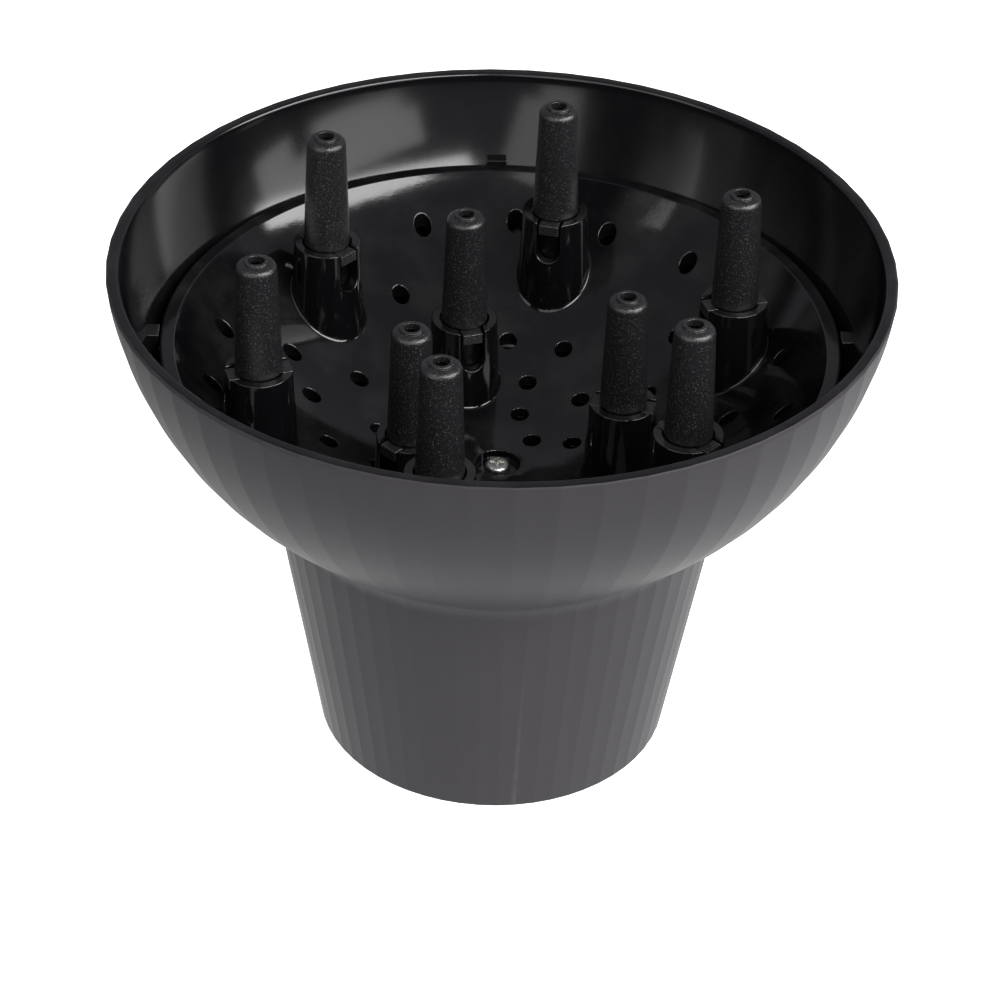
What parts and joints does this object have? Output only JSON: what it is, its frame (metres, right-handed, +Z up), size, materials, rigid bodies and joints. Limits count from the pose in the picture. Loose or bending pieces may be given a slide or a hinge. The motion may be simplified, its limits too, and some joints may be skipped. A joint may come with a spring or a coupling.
{
  "type": "hair dryer diffuser",
  "caption": "Bell-shaped dryer diffuser: faceted shell and neck, dished perforated plate with sprung hollow fingers, central screw, nozzle collar.",
  "frame": {"origin": "centre of the neck's bottom face, which is the face it stands on and where the dryer's nozzle goes in", "axes": "+Z up the axis, from the nozzle towards the fingers; +X to the right of the first view"},
  "size_m": [0.16, 0.16, 0.1208],
  "materials": {
    "matte_shell": "fine-grained matte anthracite",
    "gloss_plate": "moulded gloss black",
    "satin_finger": "satin black with fine speckled grain",
    "matte_inner": "matte black",
    "silicone": "matte heat-proof silicone",
    "zinc_screw": "bright zinc plate",
    "spring_steel": "drawn spring wire and strip"
  },
  "bodies": {
    "body": {"outer_shell": "matte_shell", "finger_plate": "gloss_plate", "air_spreader": "matte_inner", "plate_screw": "zinc_screw", "nozzle_collar": "matte_inner", "sealing_ring": "silicone", "collar_screws": "zinc_screw", "outer_finger_spring_1": "spring_steel", "outer_finger_spring_2": "spring_steel", "outer_finger_spring_3": "spring_steel", "outer_finger_spring_4": "spring_steel", "outer_finger_spring_5": "spring_steel", "outer_finger_spring_6": "spring_steel", "inner_finger_spring_1": "spring_steel", "inner_finger_spring_2": "spring_steel", "inner_finger_spring_3": "spring_steel"},
    "outer_finger_1": {"outer_finger_1": "satin_finger", "outer_finger_clip_1": "spring_steel"},
    "outer_finger_2": {"outer_finger_2": "satin_finger", "outer_finger_clip_2": "spring_steel"},
    "outer_finger_3": {"outer_finger_3": "satin_finger", "outer_finger_clip_3": "spring_steel"},
    "outer_finger_4": {"outer_finger_4": "satin_finger", "outer_finger_clip_4": "spring_steel"},
    "outer_finger_5": {"outer_finger_5": "satin_finger", "outer_finger_clip_5": "spring_steel"},
    "outer_finger_6": {"outer_finger_6": "satin_finger", "outer_finger_clip_6": "spring_steel"},
    "inner_finger_1": {"inner_finger_1": "satin_finger", "inner_finger_clip_1": "spring_steel"},
    "inner_finger_2": {"inner_finger_2": "satin_finger", "inner_finger_clip_2": "spring_steel"},
    "inner_finger_3": {"inner_finger_3": "satin_finger", "inner_finger_clip_3": "spring_steel"}
  },
  "joints": [
    {"name": "outer_finger_1_press", "type": "slide", "parent": "body", "child": "outer_finger_1", "axis": [0, 0, 1], "range_m": [-0.004, 0], "stiffness_N_per_m": 120, "springref_m": 0.003, "deforming": ["outer_finger_spring_1"]},
    {"name": "outer_finger_2_press", "type": "slide", "parent": "body", "child": "outer_finger_2", "axis": [0, 0, 1], "range_m": [-0.004, 0], "stiffness_N_per_m": 120, "springref_m": 0.003, "deforming": ["outer_finger_spring_2"]},
    {"name": "outer_finger_3_press", "type": "slide", "parent": "body", "child": "outer_finger_3", "axis": [0, 0, 1], "range_m": [-0.004, 0], "stiffness_N_per_m": 120, "springref_m": 0.003, "deforming": ["outer_finger_spring_3"]},
    {"name": "outer_finger_4_press", "type": "slide", "parent": "body", "child": "outer_finger_4", "axis": [0, 0, 1], "range_m": [-0.004, 0], "stiffness_N_per_m": 120, "springref_m": 0.003, "deforming": ["outer_finger_spring_4"]},
    {"name": "outer_finger_5_press", "type": "slide", "parent": "body", "child": "outer_finger_5", "axis": [0, 0, 1], "range_m": [-0.004, 0], "stiffness_N_per_m": 120, "springref_m": 0.003, "deforming": ["outer_finger_spring_5"]},
    {"name": "outer_finger_6_press", "type": "slide", "parent": "body", "child": "outer_finger_6", "axis": [0, 0, 1], "range_m": [-0.004, 0], "stiffness_N_per_m": 120, "springref_m": 0.003, "deforming": ["outer_finger_spring_6"]},
    {"name": "inner_finger_1_press", "type": "slide", "parent": "body", "child": "inner_finger_1", "axis": [0, 0, 1], "range_m": [-0.004, 0], "stiffness_N_per_m": 120, "springref_m": 0.003, "deforming": ["inner_finger_spring_1"]},
    {"name": "inner_finger_2_press", "type": "slide", "parent": "body", "child": "inner_finger_2", "axis": [0, 0, 1], "range_m": [-0.004, 0], "stiffness_N_per_m": 120, "springref_m": 0.003, "deforming": ["inner_finger_spring_2"]},
    {"name": "inner_finger_3_press", "type": "slide", "parent": "body", "child": "inner_finger_3", "axis": [0, 0, 1], "range_m": [-0.004, 0], "stiffness_N_per_m": 120, "springref_m": 0.003, "deforming": ["inner_finger_spring_3"]}
  ]
}
